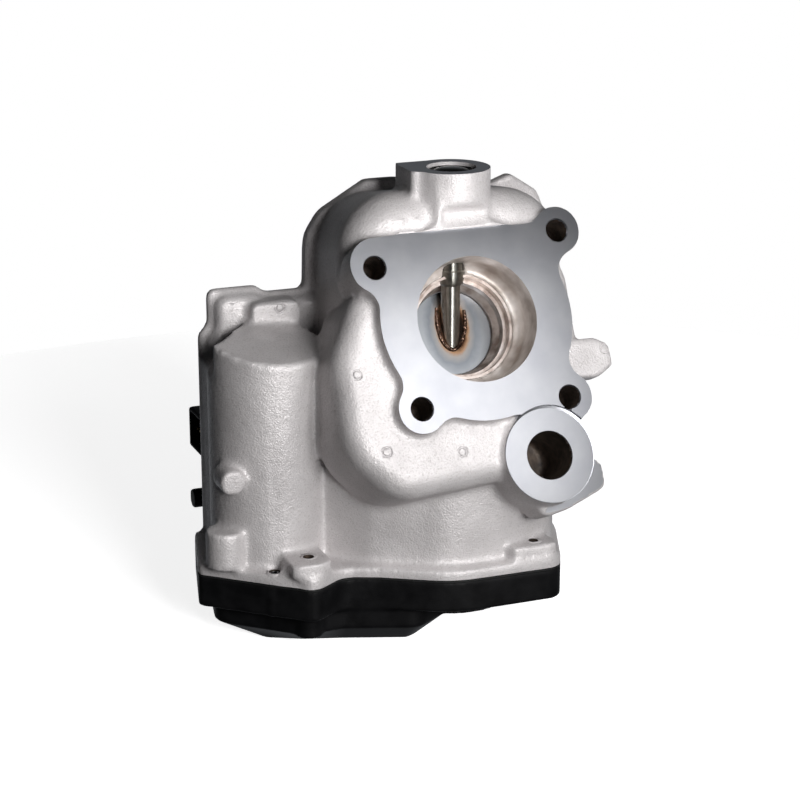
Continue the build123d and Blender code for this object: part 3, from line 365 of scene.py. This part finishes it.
# %% Casting: milled faces
WING_DEPTH = 10.25
boolean(casting, box("cut", (-80, -90, 0), (80, 31.5, 40), FLANGE_FRAME))
boolean(casting, turned("cut", [(0, 0), (9.5, 0), (9.5, 9), (0, 9)], on_flange(34.7, 27.9), OUT, closed=False))
wing_cutter = turned("cut", [(17, -WING_DEPTH), (34, -WING_DEPTH), (34, -6), (17, -6)], port_centre, OUT)
wing_side = ACROSS * cos(radians(30)) - UP_FACE * sin(radians(30))
wing_area = box("keep", (8, -30, -20), (40, 22, 5), frame_matrix(port_centre, OUT, wing_side))
boolean(wing_cutter, wing_area, "INTERSECT")
boolean(casting, wing_cutter)
boolean(casting, box("cut", (-60, -60, boss_z / MM), (60, 60, boss_z / MM + 20)))
boolean(casting, box("cut", (-150, -100, ledge_z / MM - 20), (100, 100, ledge_z / MM)))
boolean(casting, box("cut", (-150, rear_y / MM, -150), (100, rear_y / MM + 20, 100)))

# %% [markdown]
# Holes. The port has a shallow spot face, and the duct narrows behind its mouth in a quarter round. The threads
# for the studs are rings rather than a helix, because one spin of a ridged profile looks the same in such a hole.

# %% Casting: spot face of the port, bores and stud holes
spot_face = [(0, -PORT_DEPTH), (16.2, -PORT_DEPTH), (17.1, -1.75), (17.2, 20), (0, 20)]
boolean(casting, turned("cut", spot_face, port_centre, OUT, closed=False))


def hole_cutter(radius, length, bevel):
    """Profile of a drilled hole with a bevelled mouth; along is 0 at the face."""
    return [(0, 4), (radius + bevel, 4), (radius + bevel, 0), (radius, -bevel), (radius, -length), (0, -length)]


def thread_cutter(crest, root, pitch, turns):
    """Profile of a threaded hole: bevelled mouth, then the thread's ridges, then the drill point."""
    points = [(0, 4), (root + 0.3, 4), (root + 0.3, 0), (crest, -0.9)]
    for ridge in range(turns):
        points += [(root, -0.9 - pitch * (ridge + 0.5)), (crest, -0.9 - pitch * (ridge + 1))]
    return points + [(0, -0.9 - pitch * turns - 1.5)]


studs = [(-33.8, 20.7), (34.7, 27.9), (29.0, -30.1), (-25.1, -28.4)]
thread = thread_cutter(3.45, 3.9, 1.25, 10)
for u, v in studs:
    boolean(casting, turned("cut", thread, on_flange(u, v), OUT, steps=64, closed=False))
boolean(casting, turned("cut", hole_cutter(8.0, 20, 0.45), on_flange(*PORT, PORT_DEPTH), OUT, closed=False))
BORE, BORE_DEPTH, ROUND = 21.75, 11.2, 3.2
inlet = [(0, 4), (BORE, 4), (BORE, -BORE_DEPTH)]
for step in range(1, 9):
    turn = radians(90 * step / 8)
    inlet.append((BORE - ROUND * (1 - cos(turn)), -BORE_DEPTH - ROUND * sin(turn)))
inlet += [(18.55, -15.7), (0, -15.7)]
boolean(casting, turned("cut", inlet, Vector(), OUT, closed=False, steps=160))
groove = [(18.3, -14.0), (18.8, -14.0), (18.8, -15.2), (18.3, -15.2)]
boolean(casting, turned("cut", groove, Vector(), OUT, steps=160))

# %% [markdown]
# Small marks of the mould: the pins that pushed the casting out left faint rings, and there are the round holes
# for the dowel and the cover screws. They are cut after the skin, so they stay crisp. The rings don't touch each
# other, so they are joined into one tool and cut in one go. The skin has softened the holes of the CAD solid, so
# each first gets solid metal round its mouth again, and is then drilled. What the skin left above the dowel's
# hole is cleared away before that.

# %% Casting: ejector rings and small holes
def join(name, parts):
    """One object from several that don't touch."""
    bm = bmesh.new()
    for part in parts:
        bm.from_mesh(part.data)
        bpy.data.objects.remove(part)
    return make_object(name, bm)


RING = [(1.35, 0.6), (1.8, 0.6), (1.8, -0.3), (1.35, -0.3)]
FRONT = Vector((0, -1, 0))
rings = [turned("ring", RING, on_flange(u, v, depth), OUT, steps=32)
         for u, v, depth in ((-44.6, -14.0, 4), (-38.4, -40.8, 4), (-11.6, -44.0, 4), (50.0, -13.6, 10))]
rings += [turned("ring", RING, by_shaft(x, back, height), FRONT, steps=32)
          for x, back, height in ((-70.5, 27.5, 12.5), (-55, 22.5, 9.0))]
boolean(casting, join("cut", rings))
UP = Vector((0, 0, 1))
LEDGE_TOP, PAD_TOP = -74.4, -69.4
small_holes = [((*DOWEL_AT, LEDGE_TOP), 2.02, 12), ((-59.0, -16.0, PAD_TOP), 1.95, 5),
               ((19.5, -30.0, PAD_TOP), 1.7, 5)]
clearance = [(0, 0.05), (2.6, 0.05), (2.6, 5), (0, 5)]
boolean(casting, turned("cut", clearance, by_shaft(*DOWEL_AT, LEDGE_TOP), UP, closed=False))
for place, radius, depth in small_holes:
    seat = [(0, -0.02), (2.8, -0.02), (2.8, -3.5), (0, -3.5)]
    hole = [(0, 0.5), (radius, 0.5), (radius, -depth), (0, -depth)]
    boolean(casting, turned("fill", seat, by_shaft(*place), UP, closed=False), "UNION")
    boolean(casting, turned("cut", hole, by_shaft(*place), UP, steps=48, closed=False))
print("casting:", len(casting.data.polygons), "faces")

# %% [markdown]
# A cutter leaves bare metal where it has been, so each face of the casting takes its finish from where it lies:
# as cast, milled or bored. Faces deep in holes take a very dark colour instead, which is painted shade. The
# border between two finishes is an edge that a tool made, and stays sharp.

# %% Casting: materials by place, and crisp edges round the milled faces
CAST, MILLED, BORED, HOLE_SHADE = range(4)
casting.data.materials.clear()
for material in (cast_metal, milled_metal, bore_metal, hole_shade_metal):
    casting.data.materials.append(material)


def milled_slot(centre, normal):
    """Material slot of a face of the casting, from where it lies."""
    ahead = centre.dot(OUT) / MM
    if normal.dot(OUT) > 0.999 and any(abs(ahead + depth) < 0.004 for depth in (0, PORT_DEPTH, WING_DEPTH)):
        return MILLED
    if abs(centre.z - boss_z) < 1e-5 or abs(centre.z - ledge_z) < 1e-5 or abs(centre.y - rear_y) < 1e-5:
        return MILLED
    radial = (centre - OUT * ahead * MM).length / MM
    if radial < BORE + 0.15 and -15.8 < ahead < 0.1:
        return BORED
    for u, v in [*studs, PORT]:
        at_port = (u, v) == PORT
        off = (centre - on_flange(u, v) - OUT * ahead * MM).length / MM
        if at_port and -2.1 < ahead < 0.1 and 16.1 < off < 18.4:
            return MILLED
        # Deep in the port and in the stud holes the faces take the painted shade.
        if at_port and (off < 15 and -75 < ahead < -2.02 or off < 8.3 and ahead < -2.02):
            return MILLED if ahead > -2.5 else HOLE_SHADE
        if not at_port and off < 4.3 and ahead > -17:
            return MILLED if ahead > -0.8 else HOLE_SHADE
    # The walls of the small holes take the painted shade too.
    for (x, back, _), radius, _ in small_holes:
        off = hypot(centre.x / MM - x, (centre.y - FLAP_CENTRE.y) / MM - back)
        if off < radius + 0.02 and centre.z < by_shaft(0, 0, PAD_TOP - 0.2).z:
            return HOLE_SHADE
    return CAST


for polygon in casting.data.polygons:
    polygon.material_index = milled_slot(polygon.center, polygon.normal)
    polygon.use_smooth = not (polygon.material_index == MILLED and abs(polygon.normal.dot(OUT)) > 0.999)
bm = bmesh.new()
bm.from_mesh(casting.data)
for edge in bm.edges:
    if len(edge.link_faces) == 2:
        a, b = edge.link_faces
        if a.material_index != b.material_index or a.material_index and edge.calc_face_angle(0) > radians(28):
            edge.smooth = False
bm.to_mesh(casting.data)
bm.free()
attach(casting, "valve_body")
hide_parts("housing")
slots = [polygon.material_index for polygon in casting.data.polygons]
print("cast, milled, bored, drilled faces:", [slots.count(slot) for slot in (CAST, MILLED, BORED, HOLE_SHADE)])

# %% [markdown]
# The gear cover is moulded plastic, so all its corners are rounded. A copy of the CAD solid gets a finer skin
# than the casting, because its walls are thin.

# %% Gear cover
cover = copy_of("gear_cover", "cover_moulding")
remesh(cover, 0.7, 3)
for polygon in cover.data.polygons:
    polygon.use_smooth = True
cover.data.materials.append(cover_plastic)
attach(cover, "valve_body")
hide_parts("gear_cover")
print("cover:", len(cover.data.polygons), "faces")

# %% [markdown]
# Turned pieces: each is a profile spun about its own axis. The bush ends in a rounded nose round the shaft. The
# plug is pressed sheet, domed and with a rolled edge. The dowel is a hollow sleeve.

# %% Bush, plug and dowel
def placed(piece, body, node):
    """The piece is smooth shaded with sharp edges past 35 degrees, rides on a body and stands for a CAD node."""
    for polygon in piece.data.polygons:
        polygon.use_smooth = True
    piece.data.set_sharp_from_angle(angle=radians(35))
    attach(piece, body)
    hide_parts(node)


SHAFT_FOOT = by_shaft(0, 0, 0)
nose = [(3.39, 17.6), (3.5, 17.6), (3.75, 17.9), (4.1, 18.3), (4.45, 19.0), (4.65, 20.0), (4.7, 21.0),
        (4.7, 23.0), (4.29, 23.4)]
bush = turned("upper_bush_turned", nose + [(4.29, 45.7), (4.0, 46), (3.39, 46)], SHAFT_FOOT, UP, bush_steel)
placed(bush, "valve_body", "upper_bush")
plug_outside = [(8.58, 53.5), (8.58, 57.6), (8.4, 58.0), (7.9, 58.1), (7.3, 57.7), (6.9, 57.5), (5.6, 58.3),
                (3.9, 58.75), (2.0, 58.95), (0, 59.0)]
plug_inside = [(0, 58.0), (3.9, 57.8), (5.6, 57.4), (6.6, 56.8), (7.5, 56.6), (7.58, 53.5)]
plug = turned("top_plug_pressed", plug_outside + plug_inside, SHAFT_FOOT, UP, plug_steel)
placed(plug, "valve_body", "top_plug")
sleeve = [(0, -82.8), (2, -82.8), (2, -75.1), (1.8, -74.8), (1.4, -74.8), (1.25, -75.0), (1.25, -81), (0, -81)]
dowel = turned("dowel_sleeve", sleeve, by_shaft(*DOWEL_AT, 0), UP, steel, steps=48)
placed(dowel, "valve_body", "cover_dowel")
print("turned pieces:", [len(piece.data.polygons) for piece in (bush, plug, dowel)], "faces")

# %% [markdown]
# The weld holds the flap to the flattened shaft: one narrow bead in a U round the shaft's end, with the ripples
# that the torch leaves. A smooth curve through a few points carries a round section, and is then made a mesh.

# %% Weld bead
weld_path = [(-4.0, 9.2), (-4.9, 5.0), (-4.8, 1.0), (-4.0, -3.2), (-1.0, -6.6), (2.6, -4.8), (5.0, -0.2),
             (6.0, 4.0), (6.0, 7.5)]
curve = bpy.data.curves.new("weld", "CURVE")
curve.dimensions = "3D"
curve.bevel_depth = 0.7 * MM
curve.bevel_resolution = 4
curve.use_fill_caps = True
spline = curve.splines.new("NURBS")
spline.points.add(len(weld_path) - 1)
for point, (u, v) in zip(spline.points, weld_path):
    point.co = (*on_flange(u, v, 25.35), 1)
    point.radius = 1
spline.order_u = 3
spline.use_endpoint_u = True
spline.resolution_u = 24
line = bpy.data.objects.new("weld_line", curve)
bpy.context.scene.collection.objects.link(line)
bpy.context.view_layer.update()
weld_mesh = bpy.data.meshes.new_from_object(line.evaluated_get(bpy.context.evaluated_depsgraph_get()))
bpy.data.objects.remove(line)
bm = bmesh.new()
bm.from_mesh(weld_mesh)
for vertex in bm.verts:
    ripple = sin(vertex.co.x / MM * 4.1) * sin(vertex.co.dot(UP_FACE) / MM * 5.0)
    vertex.co += OUT * 0.09 * MM * ripple
bead = make_object("weld_bead", bm, weld_metal)
placed(bead, "flap", "disc_weld")
print("weld bead:", len(bead.data.polygons), "faces")

# %% [markdown]
# Pieces that keep their CAD shape only need their material.

# %% Materials on the CAD nodes
finishes = {
    "gas_liner": liner_steel, "lower_bush": bush_steel, "shaft_seal": rubber,
    "shaft_bearing": steel, "return_spring": spring_steel, "motor_can": zinc,
    "motor_end_cap": inner_plastic, "motor_magnets": ferrite, "motor_brushes": carbon, "motor_damper": rubber,
    "motor_bracket": zinc, "motor_screws": zinc, "idler_pin": steel,
    "cover_gasket": rubber, "cover_screws": zinc, "sensor_board": board_green,
    "connector_terminals": brass, "valve_shaft": shaft_steel, "flap_disc": disc_steel,
    "sector_gear": gear_plastic, "sensor_magnet": ferrite, "idler_gear": gear_plastic, "motor_shaft": steel,
    "motor_pinion": brass, "motor_armature": copper}
for name, material in finishes.items():
    nodes[name].data.materials.clear()
    nodes[name].data.materials.append(material)
print("CAD nodes with a finish:", len(finishes))

# %% [markdown]
# Floor and surround. The photograph is cut out on white, and the metal shows no bright floor in its reflections.
# So the pale floor glows softly to the camera, and isn't seen by the light that bounces about the object. The
# surround is white to the camera. To the metal it is dim in front, which makes the left faces nearly black, and
# paler behind and below, as a room is, so the back has something to reflect too.

# %% Floor and surround
bpy.context.scene.view_settings.view_transform = "Standard"
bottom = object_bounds()[0][2]
floor_paint = finish("pale_floor", [(0.3, "f4f4f4"), (0.7, "f8f8f8")], 0.9, 0, 60, 2.0, 0.02)
shader = floor_paint.node_tree.nodes["Principled BSDF"]
shader.inputs["Emission Color"].default_value = linear("ffffff")
shader.inputs["Emission Strength"].default_value = 0.82
bm = bmesh.new()
bmesh.ops.create_circle(bm, cap_ends=True, segments=128, radius=0.42)
bm.transform(Matrix.Translation((0, 0, bottom - 0.0002)))
floor = make_object("floor", bm, floor_paint)
floor.visible_diffuse = False
floor.visible_glossy = False

world = bpy.data.worlds.new("studio")
bpy.context.scene.world = world
world.use_nodes = True
tree = world.node_tree
dim = tree.nodes["Background"]
dim.inputs["Color"].default_value = linear("d8dce2")
toward = add_node(tree, "TexCoord").outputs["Generated"]
behind = add_node(tree, "VectorMath", {0: toward}, operation="DOT_PRODUCT")
behind.inputs[1].default_value = Vector((0.3, 0.75, -0.55)).normalized()
room = add_node(tree, "MapRange", {"Value": behind.outputs["Value"]}, From_Min=0.58, From_Max=0.9, To_Min=0.02,
                To_Max=0.7)
tree.links.new(room.outputs["Result"], dim.inputs["Strength"])
bright = add_node(tree, "Background", Strength=1.0, Color=linear("ffffff"))
seen = add_node(tree, "LightPath").outputs["Is Camera Ray"]
either = add_node(tree, "MixShader", {0: seen, 1: dim.outputs["Background"], 2: bright.outputs["Background"]})
tree.links.new(either.outputs["Shader"], tree.nodes["World Output"].inputs["Surface"])
print("floor at", round(bottom / MM, 2), "mm")

# %% [markdown]
# Lights. The flange is almost a mirror: blue-grey at its top right, white at its lower left. So a small panel
# stands close in front of it, and its glow fades across the face. A tall strip further off draws the narrow line
# on the shaft. The matt skin needs more light than that, so two boxes light it that no reflection shows. A small
# one fills the bore, and a broad one stands behind for the sides that the photograph doesn't show.

# %% Lights
def softbox(name, place, width, height, watts):
    """Rectangular soft light at a place in millimetres from the flap centre, aimed at the valve."""
    light = bpy.data.lights.new(name, "AREA")
    light.shape = "RECTANGLE"
    light.size = width
    light.size_y = height
    light.energy = watts
    obj = bpy.data.objects.new(name, light)
    obj.location = by_shaft(*place)
    obj.rotation_euler = Vector(place).to_track_quat("Z", "Y").to_euler()
    obj.visible_camera = False
    bpy.context.scene.collection.objects.link(obj)
    return obj


softbox("panel", (42, -160, 60), 0.1, 0.1, 0.06)
fill_lights = (("skin_near", (40, -160, 62), 0.11, 0.07), ("skin_far", (78, -1080, 330), 0.4, 14.6))
for name, place, size, watts in fill_lights:
    skin_light = softbox(name, place, size, size, watts)
    skin_light.visible_glossy = False
strip = softbox("strip", (10, -590, 100), 0.14, 0.5, 2.2)
strip.visible_diffuse = False
bore_fill = softbox("bore_fill", (-14, -55.6, 33.2), 0.02, 0.02, 0.022)
bore_fill.visible_glossy = False
rear = softbox("rear", (150, 1030, -60), 0.7, 0.5, 5)
rear.visible_glossy = False
print("lights:", len(bpy.data.lights))

# %% [markdown]
# Camera. It stands about 0.77 m away, to the left and a little above, with a long lens, so that the valve is seen
# as in the photograph.

# %% Camera
azimuth, elevation = radians(-21.5), radians(17.4)
back = Vector((sin(azimuth) * cos(elevation), -cos(azimuth) * cos(elevation), sin(elevation)))
right = Vector((cos(azimuth), sin(azimuth), 0))
up = back.cross(right)
camera_data = bpy.data.cameras.new("camera")
camera_data.sensor_width = 36
camera_data.lens = 99
camera_data.clip_start = 0.01
camera_data.dof.use_dof = False
camera = bpy.data.objects.new("camera", camera_data)
turn = Matrix((right, up, back)).transposed().to_4x4()
turn.translation = by_shaft(-288.2, -683.7, 208.0)
camera.matrix_world = turn
bpy.context.scene.collection.objects.link(camera)
bpy.context.scene.camera = camera
print("camera distance:", round((camera.matrix_world.translation - FLAP_CENTRE).length, 3), "m")
